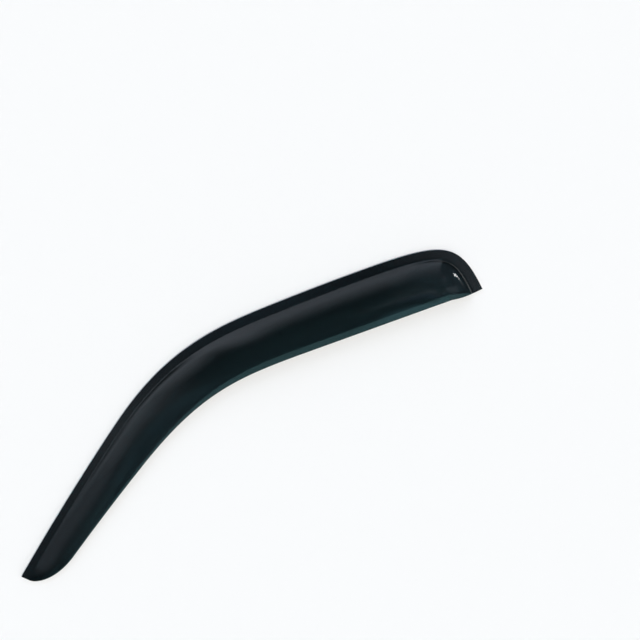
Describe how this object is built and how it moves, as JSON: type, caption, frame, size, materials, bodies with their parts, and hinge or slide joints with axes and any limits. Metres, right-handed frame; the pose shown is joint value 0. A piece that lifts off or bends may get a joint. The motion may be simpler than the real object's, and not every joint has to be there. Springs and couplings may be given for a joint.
{
  "type": "window rain deflector",
  "caption": "Smoke-tinted moulded window deflector for a front car door: flat bonding flange, stepped domed shade, closed rear end and a tapering pillar tip.",
  "frame": {"origin": "middle of the part's outline, on the plane of the flange's back, which sticks to the door frame", "axes": "+X to the rear of the car along the roof rail, +Y up the door, +Z away from the car"},
  "size_m": [0.8778, 0.303, 0.024],
  "materials": {
    "smoke_acrylic": "polished smoke-tinted acrylic"
  },
  "bodies": {
    "root": {"deflector": "smoke_acrylic"}
  },
  "joints": []
}
